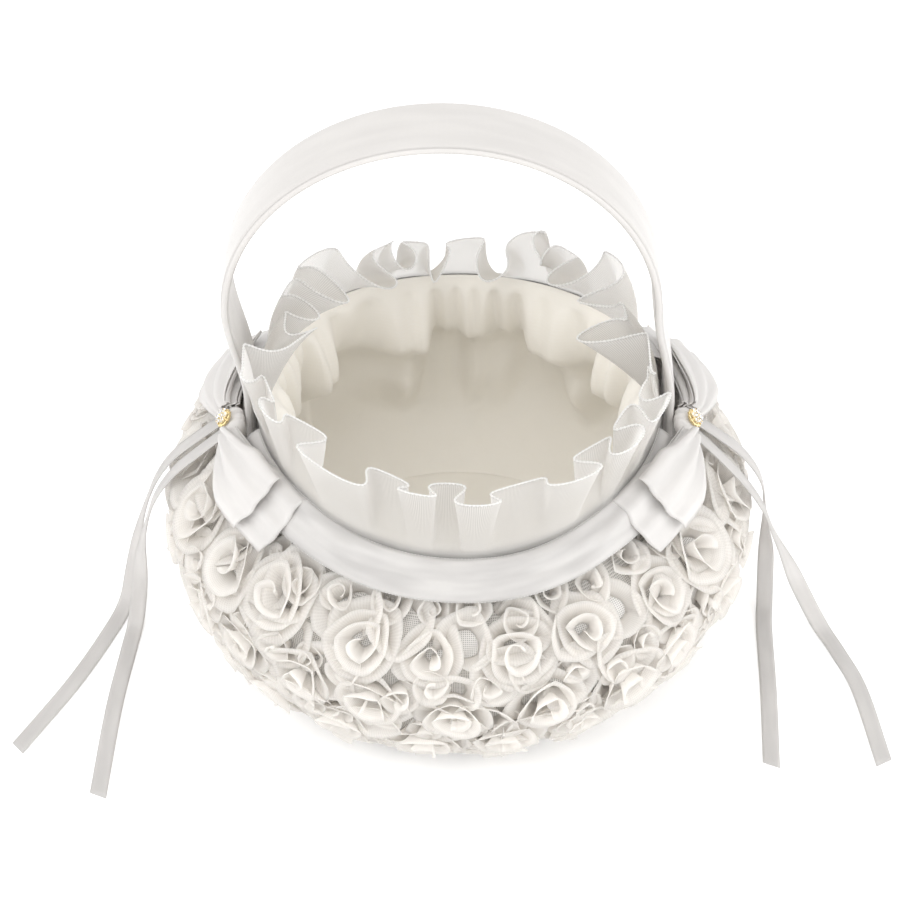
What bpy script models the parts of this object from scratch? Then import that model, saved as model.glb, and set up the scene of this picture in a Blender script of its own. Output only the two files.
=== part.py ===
"""Flower girl basket: a round lined basket covered with ribbon rosettes on tulle, with a gathered
organza ruffle, a satin-covered strip handle that leans on its two stitched feet, a ribbon bow with
a rhinestone ornament on each side and two narrow ribbon streamers under each bow.

Metres, +Z up, +X to the right of someone facing the front, -Y towards them. The origin is the
centre of the flat base."""

import math

import bmesh
import bpy
import numpy as np
from mathutils import Vector

# Driving dimensions.
GAP = 0.0003
BELLY_RADIUS = 0.105
BELLY_HEIGHT = 0.060
UPPER_RISE = 0.046
LOWER_DROP = 0.081
SHOULDER_TURN = math.radians(33)
SHOULDER_SLOPE = math.radians(45)
MOUTH_RADIUS = 0.075
SIDE_LIFT = 0.008
MOUTH_SQUEEZE = 0.06
SEGMENTS = 24

# The layers of the wall, as depths below the outside of the roses.
ROSE_DEPTH = 0.0070
TULLE_DEPTHS = (0.0073, 0.0078)
SATIN_DEPTHS = (0.0081, 0.0087)
BOWL_DEPTHS = (0.0090, 0.0110)
LINING_DEPTHS = (0.0113, 0.0125)
NECK_RADIUS = 0.0704
NECK_TOP = 0.0992
LAYER_MOUTH_RADIUS = 0.0725
BOWL_MOUTH_RADIUS = 0.0750

# The base.
BASE_RADIUS = 0.070
BASE_THICKNESS = 0.0012
BOARD_RADIUS = 0.0545
BOARD_THICKNESS = 0.0020
FLOOR_RADIUS = 0.0568
FLOOR_THICKNESS = 0.0010

# The rim: its wire, its ribbon band and the ruffle.
HOOP_RADIUS = 0.0722
HOOP_HEIGHT = 0.0983
HOOP_WIRE = 0.0010
BAND_WIDTH = 0.0142
BAND_LIFT = (0.0003, 0.0011)
BAND_GAP = 2 * math.pi / SEGMENTS
RUFFLE_BASE = 0.0996
RUFFLE_TOP = 0.1330
RUFFLE_RADII = (0.0712, 0.0738)
RUFFLE_TOP_RADII = (0.0690, 0.0815)
PRESSED_THICKNESS = 0.3
LEG_SWING = 0.009

# The handle.
HANDLE_HALF_SPAN = 0.0725
HANDLE_WIDTH = 0.025
HANDLE_THICKNESS = 0.003
HANDLE_TOP = 0.220
HANDLE_SPRING = 0.150
HANDLE_SIDE_LEAN = -0.006
LEAN_START = 0.112
LEAN_RISE = 0.040
SLEEVE_WALL = 0.0005
CORE_WIDTH = 0.0220
CORE_THICKNESS = 0.0014
PIVOT_HEIGHT = 0.101
FOOT_DEPTH = 0.005
CORE_RECESS = 0.0010
PIN_RADIUS = 0.0009
PIN_HOLE_RADIUS = 0.0012
PIN_HEAD_RADIUS = 0.0020
PIN_HEAD_TIP = 0.0013
PIN_HEAD_HEIGHT = 0.0009
NOTCH_HALF_WIDTH = 0.0144
NOTCH_BOTTOM = 0.0917
NOTCH_TOP = 0.125
NOTCH_INNER = 0.060
POCKET_REACH = 0.0015

# The bows and the ornaments.
KNOT_AZIMUTH = math.radians(81.4)
KNOT_SLOPE = 0.0088
KNOT_HEIGHT = 0.0042
KNOT_RADII = (0.0032, 0.0060, 0.0052)
LOOP_START_REACH = 0.0066
LOOP_START_RISE = 0.0006
LOOP_HALF_WIDTHS = (0.0042, 0.0125)
LOOP_HALF_THICKNESSES = (0.0010, 0.0026)
LOOP_STATIONS = 9
LOOP_SLOPE_CENTRE = 0.0115
SETTING_RADIUS = 0.0034
SETTING_THICKNESS = 0.0014
STONE_RADIUS = 0.0009
STONE_HEIGHT = 0.0012
STONE_RING_RADIUS = 0.0022
STONE_COUNT = 6

# The streamers: ribbon 6 mm wide, with the routes' own points for the right side and the left.
STREAMER_WIDTH = 0.006
STREAMER_THICKNESS = 0.0005
STREAMER_STATIONS = 40
STREAMER_ROUTES = {
    "streamer_right_front": [
        (0.0822, -0.0100, 0.0960),
        (0.0905, -0.0120, 0.0880),
        (0.1005, -0.0140, 0.0765),
        (0.1078, -0.0140, 0.0640),
        (0.1125, -0.0120, 0.0500),
        (0.1200, -0.0095, 0.0310),
        (0.1275, -0.0085, 0.0130),
        (0.1335, -0.0120, 0.0022),
        (0.1390, -0.0240, 0.0006),
        (0.1450, -0.0430, 0.0006),
        (0.1500, -0.0790, 0.0006),
    ],
    "streamer_right_back": [
        (0.0822, -0.0020, 0.0960),
        (0.0905, -0.0010, 0.0882),
        (0.1005, 0.0005, 0.0775),
        (0.1080, 0.0020, 0.0640),
        (0.1110, 0.0040, 0.0480),
        (0.1130, 0.0055, 0.0300),
        (0.1140, 0.0050, 0.0120),
        (0.1140, 0.0000, 0.0020),
        (0.1130, -0.0120, 0.0006),
        (0.1120, -0.0430, 0.0006),
        (0.1100, -0.0800, 0.0006),
    ],
    "streamer_left_front": [
        (-0.0822, -0.0100, 0.0960),
        (-0.0905, -0.0100, 0.0880),
        (-0.1005, -0.0090, 0.0770),
        (-0.1082, -0.0070, 0.0630),
        (-0.1125, -0.0045, 0.0480),
        (-0.1160, -0.0030, 0.0300),
        (-0.1180, -0.0050, 0.0120),
        (-0.1195, -0.0110, 0.0022),
        (-0.1210, -0.0220, 0.0006),
        (-0.1240, -0.0520, 0.0006),
        (-0.1260, -0.0940, 0.0006),
    ],
    "streamer_left_back": [
        (-0.0822, -0.0020, 0.0960),
        (-0.0905, -0.0015, 0.0882),
        (-0.1005, 0.0000, 0.0775),
        (-0.1080, 0.0030, 0.0640),
        (-0.1135, 0.0055, 0.0480),
        (-0.1180, 0.0070, 0.0300),
        (-0.1215, 0.0060, 0.0120),
        (-0.1240, 0.0000, 0.0022),
        (-0.1290, -0.0140, 0.0006),
        (-0.1400, -0.0400, 0.0006),
        (-0.1570, -0.0720, 0.0006),
    ],
}

# Colour, roughness and metallic value of each material.
MATERIALS = {
    "satin": ((0.86, 0.84, 0.80, 1), 0.38, 0.0),
    "lining": ((0.84, 0.79, 0.71, 1), 0.50, 0.0),
    "organza": ((0.90, 0.89, 0.87, 1), 0.55, 0.0),
    "rose": ((0.88, 0.86, 0.83, 1), 0.60, 0.0),
    "plastic": ((0.80, 0.80, 0.78, 1), 0.45, 0.0),
    "board": ((0.62, 0.55, 0.44, 1), 0.85, 0.0),
    "wire": ((0.62, 0.62, 0.64, 1), 0.35, 1.0),
    "thread": ((0.88, 0.87, 0.84, 1), 0.70, 0.0),
    "gold": ((0.83, 0.62, 0.30, 1), 0.25, 1.0),
    "crystal": ((0.93, 0.94, 0.96, 1), 0.05, 0.0),
}


def clear_scene():
    """Removes every object, so that the model stands alone."""
    for obj in list(bpy.data.objects):
        bpy.data.objects.remove(obj, do_unlink=True)


def new_collection(name, hidden=False):
    collection = bpy.data.collections.new(name)
    collection.hide_render = hidden
    bpy.context.scene.collection.children.link(collection)
    return collection


def make_materials():
    made = {}
    for name, (colour, roughness, metallic) in MATERIALS.items():
        material = bpy.data.materials.new(name)
        material.use_nodes = True
        shader = material.node_tree.nodes["Principled BSDF"]
        shader.inputs["Base Color"].default_value = colour
        shader.inputs["Roughness"].default_value = roughness
        shader.inputs["Metallic"].default_value = metallic
        made[name] = material
    return made


def smooth(value):
    """A ramp from 0 to 1 with flat ends."""
    value = min(max(value, 0.0), 1.0)
    return value * value * (3 - 2 * value)


def mix(first, second, share):
    return first + (second - first) * share


def outline():
    """The outside of the roses from the mouth to the base, as rows of radius, height, and the two
    parts of the outward normal: a straight shoulder, then two quarter ellipses."""
    turn_radius = BELLY_RADIUS * math.cos(SHOULDER_TURN)
    turn_height = BELLY_HEIGHT + UPPER_RISE * math.sin(SHOULDER_TURN)
    run = turn_radius - MOUTH_RADIUS
    out, up = math.sin(SHOULDER_SLOPE), math.cos(SHOULDER_SLOPE)
    rows = []
    for share in (0.0, 0.5):
        height = turn_height + run * math.tan(SHOULDER_SLOPE) * (1 - share)
        rows.append((MOUTH_RADIUS + run * share, height, out, up))
    for degrees in (33, 22, 11, 0, -15, -31, -46.2, -54):
        angle = math.radians(degrees)
        rise = UPPER_RISE if degrees > 0 else LOWER_DROP
        normal = Vector((math.cos(angle) / BELLY_RADIUS, math.sin(angle) / rise)).normalized()
        radius = BELLY_RADIUS * math.cos(angle)
        height = BELLY_HEIGHT + rise * math.sin(angle)
        rows.append((radius, height, normal.x, normal.y))
    return rows


def layer_line(depth, mouth_radius, last):
    """(radius, height) points of the surface that lies this deep, from its mouth down to the
    outline's row number last. Its mouth slides down the shoulder to the radius given."""
    rows = outline()[: last + 1]
    points = [(r - depth * out, z - depth * up) for r, z, out, up in rows]
    radius, height = points[0]
    if radius < mouth_radius:
        points[0] = (mouth_radius, height - (mouth_radius - radius) * math.tan(SHOULDER_SLOPE))
    return [point for i, point in enumerate(points) if i == 0 or point[0] > points[0][0] or i > 3]


def pull_mouth(x, y, z):
    """Where a point of the plain turned shape goes: the handle draws the mouth in and up at the
    two sides."""
    reach = smooth((z - BELLY_HEIGHT) / (outline()[0][1] - BELLY_HEIGHT))
    side = x * x / max(x * x + y * y, 1e-12)
    return Vector((x * (1 - MOUTH_SQUEEZE * reach), y, z + SIDE_LIFT * side * reach))


def on_shoulder(azimuth, slope, height):
    """A point on the wall: the angle from the front towards +X, the distance down the outside
    from the mouth, and the height above the roses."""
    rows = outline()
    line = np.array([row[:2] for row in rows])
    steps = np.hypot(*np.diff(line, axis=0).T)
    along = np.concatenate([[0.0], np.cumsum(steps)])
    first_run = rows[0]
    if slope < 0:
        radius = first_run[0] + slope * math.cos(SHOULDER_SLOPE)
        level = first_run[1] - slope * math.sin(SHOULDER_SLOPE)
        out, up = first_run[2], first_run[3]
    else:
        radius, level, out, up = (
            float(np.interp(slope, along, [row[i] for row in rows])) for i in range(4)
        )
    radius += height * out
    level += height * up
    return pull_mouth(radius * math.sin(azimuth), -radius * math.cos(azimuth), level)


def handle_lean(height):
    """How far the handle's legs lean sideways at this height."""
    return HANDLE_SIDE_LEAN * smooth((height - LEAN_START) / LEAN_RISE)


def add_object(name, mesh, collection, material):
    obj = bpy.data.objects.new(name, mesh)
    collection.objects.link(obj)
    if material is not None:
        mesh.materials.append(material)
    return obj


def finish_mesh(name, bm, is_smooth=True):
    bm.normal_update()
    bmesh.ops.recalc_face_normals(bm, faces=bm.faces)
    mesh = bpy.data.meshes.new(name)
    bm.to_mesh(mesh)
    bm.free()
    if is_smooth:
        mesh.shade_smooth()
        mesh.set_sharp_from_angle(angle=math.radians(40))
    return mesh


def turned_mesh(name, section, warp=None, closed=True):
    """A closed section of (radius, height) points turned about Z. A section that starts and ends
    on the axis is left open there."""
    bm = bmesh.new()
    verts = [bm.verts.new((r, 0, z)) for r, z in section]
    edges = [bm.edges.new(pair) for pair in zip(verts, verts[1:])]
    if closed:
        edges.append(bm.edges.new((verts[-1], verts[0])))
    bmesh.ops.spin(
        bm,
        geom=verts + edges,
        axis=(0, 0, 1),
        cent=(0, 0, 0),
        angle=2 * math.pi,
        steps=SEGMENTS,
        use_merge=True,
    )
    bmesh.ops.remove_doubles(bm, verts=bm.verts, dist=1e-6)
    if warp is not None:
        for vert in bm.verts:
            vert.co = warp(*vert.co)
    return finish_mesh(name, bm)


def loft_mesh(name, rings):
    """A solid through rings of the same number of points, with its two ends closed."""
    bm = bmesh.new()
    rows = [[bm.verts.new(point) for point in ring] for ring in rings]
    for here, there in zip(rows, rows[1:]):
        for i in range(len(here)):
            j = (i + 1) % len(here)
            bm.faces.new((here[i], here[j], there[j], there[i]))
    bm.faces.new(rows[0])
    bm.faces.new(reversed(rows[-1]))
    return finish_mesh(name, bm)


def smooth_route(points, count):
    """Points spaced evenly along a Catmull-Rom curve through the points given."""
    given = np.array(points)
    padded = np.vstack([2 * given[0] - given[1], given, 2 * given[-1] - given[-2]])
    dense = []
    for a, b, c, d in zip(padded, padded[1:], padded[2:], padded[3:]):
        for t in np.linspace(0, 1, 20, endpoint=False):
            dense.append(
                0.5 * (2 * b + (c - a) * t + (2 * a - 5 * b + 4 * c - d) * t**2
                       + (3 * b - a - 3 * c + d) * t**3)
            )
    dense.append(given[-1])
    dense = np.array(dense)
    along = np.concatenate([[0.0], np.cumsum(np.linalg.norm(np.diff(dense, axis=0), axis=1))])
    wanted = np.linspace(0, along[-1], count)
    return [Vector([np.interp(s, along, dense[:, i]) for i in range(3)]) for s in wanted]


def add_wall_layers(parts, materials):
    """The layers of the wall, from the roses to the lining."""
    roses = layer_line(0, MOUTH_RADIUS, 8) + layer_line(ROSE_DEPTH, LAYER_MOUTH_RADIUS, 8)[::-1]
    layers = [add_object("rosette_cover", turned_mesh("rosette_cover", roses, pull_mouth),
                         parts, materials["rose"])]
    for name, depths, last, slot in (
        ("tulle_net", TULLE_DEPTHS, 8, "organza"),
        ("satin_cover", SATIN_DEPTHS, 9, "satin"),
    ):
        outside = layer_line(depths[0], LAYER_MOUTH_RADIUS, last)
        inside = layer_line(depths[1], LAYER_MOUTH_RADIUS, last)
        mesh = turned_mesh(name, outside + inside[::-1], pull_mouth)
        layers.append(add_object(name, mesh, parts, materials[slot]))

    outside = layer_line(BOWL_DEPTHS[0], BOWL_MOUTH_RADIUS, 9)
    inside = layer_line(BOWL_DEPTHS[1], BOWL_MOUTH_RADIUS, 9)
    bowl = [*outside, (0, outside[-1][1]), (0, inside[-1][1]), *inside[::-1]]
    add_object("inner_bowl", turned_mesh("inner_bowl", bowl, pull_mouth),
               parts, materials["plastic"])

    neck = []
    for depth, radius in zip(LINING_DEPTHS, (NECK_RADIUS, NECK_RADIUS - 0.0012)):
        line = layer_line(depth, radius, 9)
        neck.append([(radius, NECK_TOP), *line])
    add_object("lining_wall", turned_mesh("lining_wall", neck[0] + neck[1][::-1], pull_mouth),
               parts, materials["lining"])
    return layers


def disc_mesh(name, radius, low, thickness):
    section = [(0, low + thickness), (radius, low + thickness), (radius, low), (0, low)]
    return turned_mesh(name, section, closed=False)


def add_base(parts, materials):
    """The satin disc under the basket, and the board and the lining's floor inside the bowl."""
    add_object("base_cover", disc_mesh("base_cover", BASE_RADIUS, 0, BASE_THICKNESS),
               parts, materials["satin"])
    board_low = layer_line(BOWL_DEPTHS[1], BOWL_MOUTH_RADIUS, 9)[-1][1] + GAP
    add_object("base_board", disc_mesh("base_board", BOARD_RADIUS, board_low, BOARD_THICKNESS),
               parts, materials["board"])
    floor_low = board_low + BOARD_THICKNESS + GAP
    add_object("lining_floor", disc_mesh("lining_floor", FLOOR_RADIUS, floor_low, FLOOR_THICKNESS),
               parts, materials["lining"])


def add_rim(parts, materials):
    """The wire that keeps the mouth round, the ribbon band in two lengths that meet under the
    bows, and the ruffle, as the space that its pleats fill. The handle's legs press the ruffle
    thinner at the two sides, and it leaves them room to tilt."""
    section = [
        (HOOP_RADIUS + HOOP_WIRE * math.cos(a), HOOP_HEIGHT + HOOP_WIRE * math.sin(a))
        for a in np.linspace(0, 2 * math.pi, 6, endpoint=False)
    ]
    add_object("rim_wire", turned_mesh("rim_wire", section, pull_mouth), parts, materials["wire"])

    for name, middle in (("rim_band_front", 0.0), ("rim_band_back", math.pi)):
        half = math.pi / 2 - BAND_GAP
        rings = []
        for azimuth in np.linspace(middle - half, middle + half, SEGMENTS // 2 - 1):
            corners = ((0.0, BAND_LIFT[0]), (0.0, BAND_LIFT[1]),
                       (BAND_WIDTH, BAND_LIFT[1]), (BAND_WIDTH, BAND_LIFT[0]))
            rings.append([on_shoulder(azimuth, *corner) for corner in corners])
        add_object(name, loft_mesh(name, rings), parts, materials["satin"])

    def pressed_by_legs(x, y, z):
        point = pull_mouth(x, y, z)
        side = math.copysign(1, point.x)
        lean = side * handle_lean(point.z + side * LEG_SWING)
        squeeze = (RUFFLE_TOP_RADII[1] - math.hypot(x, y)) * PRESSED_THICKNESS
        limit = HANDLE_HALF_SPAN - HANDLE_THICKNESS / 2 + lean - 3 * GAP - squeeze
        point.x = side * min(abs(point.x), limit)
        return point

    levels = np.linspace(0, 1, 4)
    outside = [(mix(RUFFLE_RADII[1], RUFFLE_TOP_RADII[1], t), mix(RUFFLE_BASE, RUFFLE_TOP, t))
               for t in levels]
    inside = [(mix(RUFFLE_RADII[0], RUFFLE_TOP_RADII[0], t), mix(RUFFLE_BASE, RUFFLE_TOP, t))
              for t in levels]
    ruffle = turned_mesh("ruffle", outside + inside[::-1], pressed_by_legs)
    add_object("ruffle", ruffle, parts, materials["organza"])


def cylinder_bm(radius, tip_radius, length, sides):
    """A cylinder or cone along X, with its middle at the origin and its tip towards +X."""
    bm = bmesh.new()
    bmesh.ops.create_cone(bm, cap_ends=True, segments=sides, radius1=radius, radius2=tip_radius,
                          depth=length)
    for vert in bm.verts:
        vert.co = Vector((vert.co.z, vert.co.y, -vert.co.x))
    return bm


def handle_line():
    """The middle of the strip from the left foot over the arch to the right foot, with the
    direction out of the arch at each point."""
    foot = PIVOT_HEIGHT - FOOT_DEPTH
    half_span, top = HANDLE_HALF_SPAN, HANDLE_TOP - HANDLE_THICKNESS / 2
    legs = [foot, 0.1045, 0.112, 0.122, 0.132, 0.142]
    plain = [(-half_span, z) for z in legs]
    for angle in np.radians(np.linspace(180, 0, 19)):
        rise = (top - HANDLE_SPRING) * math.sin(angle)
        plain.append((half_span * math.cos(angle), HANDLE_SPRING + rise))
    plain += [(half_span, z) for z in reversed(legs)]
    line = [Vector((x + handle_lean(z), 0, z)) for x, z in plain]
    outward = []
    for before, after in zip([line[0], *line[:-1]], [*line[1:], line[-1]]):
        along = (after - before).normalized()
        outward.append(Vector((-along.z, 0, along.x)))
    return line, outward


def add_handle(parts, cutters, materials):
    """A stiff strip in a satin sleeve. Each foot has a hole for the thread tack it leans on."""
    line, outward = handle_line()
    rings = []
    for point, out in zip(line, outward):
        half, depth = HANDLE_WIDTH / 2, out * (HANDLE_THICKNESS / 2)
        width = Vector((0, half, 0))
        rings.append([point - width - depth, point + width - depth,
                      point + width + depth, point - width + depth])
    sleeve_bm = bmesh.new()
    rows = [[sleeve_bm.verts.new(p) for p in ring] for ring in rings]
    for here, there in zip(rows, rows[1:]):
        for i in range(4):
            j = (i + 1) % 4
            sleeve_bm.faces.new((here[i], here[j], there[j], there[i]))
    sleeve = add_object("handle_sleeve", finish_mesh("handle_sleeve", sleeve_bm),
                        parts, materials["satin"])
    wall = sleeve.modifiers.new("wall", "SOLIDIFY")
    wall.thickness = SLEEVE_WALL
    wall.offset = -1
    wall.use_even_offset = True

    inner = []
    for i, (point, out) in enumerate(zip(line, outward)):
        width, depth = Vector((0, CORE_WIDTH / 2, 0)), out * (CORE_THICKNESS / 2)
        if i in (0, len(line) - 1):
            point = point + Vector((0, 0, CORE_RECESS))
        inner.append([point - width - depth, point + width - depth,
                      point + width + depth, point - width + depth])
    core = add_object("handle_core", loft_mesh("handle_core", inner), parts, materials["plastic"])

    for side in (-1, 1):
        hole = finish_mesh("hole_cutter", cylinder_bm(PIN_HOLE_RADIUS, PIN_HOLE_RADIUS, 0.012, 12))
        cutter = add_object(f"hole_cutter_{side}", hole, cutters, None)
        cutter.location = (side * HANDLE_HALF_SPAN, 0, PIVOT_HEIGHT)
        for piece in (sleeve, core):
            cut(piece, cutter)


def cut(piece, cutter):
    cutter.display_type = "WIRE"
    cutter.hide_render = True
    modifier = piece.modifiers.new(cutter.name, "BOOLEAN")
    modifier.operation = "DIFFERENCE"
    modifier.object = cutter


def add_notches(layers, cutters):
    """The openings in the outer layers that the handle's feet are tucked into, with a pocket in
    the roses for the tack's outer knot."""
    outer = HANDLE_HALF_SPAN + HANDLE_THICKNESS / 2 + GAP
    for side, label in ((-1, "left"), (1, "right")):
        bm = bmesh.new()
        bmesh.ops.create_cube(bm, size=1)
        for vert in bm.verts:
            vert.co = Vector((vert.co.x * (outer - NOTCH_INNER),
                              vert.co.y * 2 * NOTCH_HALF_WIDTH,
                              vert.co.z * (NOTCH_TOP - NOTCH_BOTTOM)))
        name = f"notch_cutter_{label}"
        cutter = add_object(name, finish_mesh(name, bm, is_smooth=False), cutters, None)
        cutter.location = (side * (outer + NOTCH_INNER) / 2, 0, (NOTCH_TOP + NOTCH_BOTTOM) / 2)
        for layer in layers:
            cut(layer, cutter)
        pocket_radius = PIN_HEAD_RADIUS + GAP
        pocket = cylinder_bm(pocket_radius, pocket_radius, 2 * POCKET_REACH, 12)
        cutter = add_object(f"pocket_cutter_{label}", finish_mesh("pocket_cutter", pocket),
                            cutters, None)
        cutter.location = (side * outer, 0, PIVOT_HEIGHT)
        cut(layers[0], cutter)


def add_tack(parts, materials, label, side):
    """The thread tack that a foot leans on: a shank through the foot with a knot at each end."""
    inner_face = HANDLE_HALF_SPAN - HANDLE_THICKNESS / 2
    outer_face = HANDLE_HALF_SPAN + HANDLE_THICKNESS / 2
    steps = [
        (inner_face - GAP - PIN_HEAD_HEIGHT, PIN_HEAD_TIP),
        (inner_face - GAP, PIN_HEAD_RADIUS),
        (inner_face - GAP, PIN_RADIUS),
        (outer_face + GAP, PIN_RADIUS),
        (outer_face + GAP, PIN_HEAD_RADIUS),
        (outer_face + GAP + PIN_HEAD_HEIGHT, PIN_HEAD_TIP),
    ]
    rings = []
    for x, radius in steps:
        rings.append([
            Vector((side * x, radius * math.cos(a), PIVOT_HEIGHT + radius * math.sin(a)))
            for a in np.linspace(0, 2 * math.pi, 10, endpoint=False)
        ])
    name = f"handle_tack_{label}"
    add_object(name, loft_mesh(name, rings), parts, materials["thread"])


def knot_frame(side):
    """The middle of the knot, and the directions out of the shoulder, along the rim to the back
    and down the slope there."""
    centre = on_shoulder(KNOT_AZIMUTH, KNOT_SLOPE, KNOT_HEIGHT)
    out = (on_shoulder(KNOT_AZIMUTH, KNOT_SLOPE, 2 * KNOT_HEIGHT) - centre).normalized()
    lower = on_shoulder(KNOT_AZIMUTH, KNOT_SLOPE + 0.004, KNOT_HEIGHT)
    upper = on_shoulder(KNOT_AZIMUTH, KNOT_SLOPE - 0.004, KNOT_HEIGHT)
    down = (lower - upper).normalized()
    rim = down.cross(out)
    return [Vector((side * v.x, v.y, v.z)) for v in (centre, out, rim, down)]


def add_on_bow(name, bm, side, offset, parts, material, is_smooth=True):
    """Places a small piece on the bow. Its own +X points out of the shoulder, +Y along the rim
    and +Z down the slope, from the middle of the knot."""
    centre, out, rim, down = knot_frame(side)
    for vert in bm.verts:
        x, y, z = vert.co + Vector(offset)
        vert.co = centre + out * x + rim * y + down * z
    add_object(name, finish_mesh(name, bm, is_smooth), parts, material)


def loop_rings(side, start_x, along_rim, azimuths, lift):
    """Rings along one flattened bow loop. It leaves the knot on edge and lies down along the
    shoulder, wider and fuller on the way."""
    knot = knot_frame(1)[0]
    start = Vector((start_x, knot.y + along_rim, knot.z + LOOP_START_RISE))
    rings = []
    for share in np.linspace(0, 1, LOOP_STATIONS):
        azimuth = math.radians(mix(azimuths[0], azimuths[1], share))
        settle = smooth(share / 0.4)
        half_width = mix(LOOP_HALF_WIDTHS[0], LOOP_HALF_WIDTHS[1], smooth((share - 0.15) / 0.6))
        fullness = math.sin(math.pi * min(share / 0.9, 1.0))
        half_thick = mix(LOOP_HALF_THICKNESSES[0], LOOP_HALF_THICKNESSES[1], fullness)
        level = lift + half_thick
        surface = on_shoulder(azimuth, LOOP_SLOPE_CENTRE, level)
        centre = start.lerp(surface, settle)
        below = on_shoulder(azimuth, LOOP_SLOPE_CENTRE + 0.004, level)
        above = on_shoulder(azimuth, LOOP_SLOPE_CENTRE - 0.004, level)
        down_slope = (below - above).normalized()
        across = Vector((0, 0, -1)).lerp(down_slope, settle).normalized()
        outward = on_shoulder(azimuth, LOOP_SLOPE_CENTRE, level + 0.004) - surface
        out = Vector((1, 0, 0)).lerp(outward.normalized(), settle)
        out = (out - out.dot(across) * across).normalized()
        shape = ((-1, 0), (-0.5, 1), (0.5, 1), (1, 0), (0.5, -1), (-0.5, -1))
        ring = [centre + across * (w * half_width) + out * (t * half_thick) for w, t in shape]
        rings.append([Vector((side * p.x, p.y, p.z)) for p in ring])
    return rings


def add_bow(parts, materials, label, side):
    """Two loops of satin ribbon to the front and two to the back, and the knot over them."""
    reach = LOOP_START_REACH
    loops = {
        "front_long": (0.0776, -reach, (76, 50), 0.0015),
        "front_short": (0.0826, -reach, (76, 58), 0.0085),
        "back_long": (0.0776, reach, (86, 132), 0.0015),
        "back_short": (0.0826, reach, (86, 119), 0.0085),
    }
    for where, values in loops.items():
        name = f"bow_{label}_{where}"
        add_object(name, loft_mesh(name, loop_rings(side, *values)), parts, materials["satin"])

    bm = bmesh.new()
    bmesh.ops.create_uvsphere(bm, u_segments=12, v_segments=8, radius=1)
    for vert in bm.verts:
        vert.co = Vector([c * r for c, r in zip(vert.co, KNOT_RADII)])
    add_on_bow(f"bow_{label}_knot", bm, side, (0, 0, 0), parts, materials["satin"])


def add_ornament(parts, materials, label, side):
    """A round gold-tone setting on the knot, with one stone in the middle of a ring."""
    back = KNOT_RADII[0] + GAP
    setting = cylinder_bm(SETTING_RADIUS, SETTING_RADIUS, SETTING_THICKNESS, 16)
    add_on_bow(f"ornament_{label}_setting", setting, side, (back + SETTING_THICKNESS / 2, 0, 0),
               parts, materials["gold"])

    stone_level = back + SETTING_THICKNESS + GAP + STONE_HEIGHT / 2
    places = [(0.0, 0.0)]
    for i in range(STONE_COUNT):
        angle = 2 * math.pi * i / STONE_COUNT
        places.append((STONE_RING_RADIUS * math.cos(angle), STONE_RING_RADIUS * math.sin(angle)))
    for i, (along_rim, down_slope) in enumerate(places):
        stone = cylinder_bm(STONE_RADIUS, STONE_RADIUS * 0.55, STONE_HEIGHT, 8)
        add_on_bow(f"rhinestone_{label}_{i}", stone, side, (stone_level, along_rim, down_slope),
                   parts, materials["crystal"], is_smooth=False)


def add_streamers(parts, materials):
    """Narrow ribbons from under each knot, over the belly and down to the table. The ribbon lies
    flat on the belly and on the table, and turns over between them."""
    for name, route in STREAMER_ROUTES.items():
        line = smooth_route(route, STREAMER_STATIONS)
        rings = []
        for i, point in enumerate(line):
            before, after = line[max(i - 1, 0)], line[min(i + 1, len(line) - 1)]
            along = (after - before).normalized()
            table_across = Vector((0, 0, 1)).cross(line[-1] - line[-8]).normalized()
            if table_across.y < 0:
                table_across.negate()
            landed = smooth((0.055 - point.z) / 0.050)
            across = Vector((0, 1, 0)).lerp(table_across, landed)
            across = (across - across.dot(along) * along).normalized()
            face = along.cross(across).normalized() * (STREAMER_THICKNESS / 2)
            half = across * (STREAMER_WIDTH / 2)
            rings.append([point - half - face, point + half - face,
                          point + half + face, point - half + face])
        add_object(name, loft_mesh(name, rings), parts, materials["satin"])


def main():
    clear_scene()
    parts = new_collection("flower_girl_basket")
    cutters = new_collection("cutters", hidden=True)
    materials = make_materials()
    layers = add_wall_layers(parts, materials)
    add_notches(layers, cutters)
    add_base(parts, materials)
    add_rim(parts, materials)
    add_handle(parts, cutters, materials)
    for label, side in (("left", -1), ("right", 1)):
        add_tack(parts, materials, label, side)
        add_bow(parts, materials, label, side)
        add_ornament(parts, materials, label, side)
    add_streamers(parts, materials)


main()
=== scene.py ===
"""Looks of the flower girl basket: ribbon rosettes over tulle, an organza ruffle, a draped lining,
satin bands, bows and streamers, a satin-covered handle and two rhinestone ornaments.

Metres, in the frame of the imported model: +Z up, -Y towards the viewer. An azimuth is measured from
the front towards +X, and a slope is the distance down the outside of the wall from its mouth. The
soft pieces are shaped by formulas and vertex moves, with no simulation."""

import math

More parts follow.
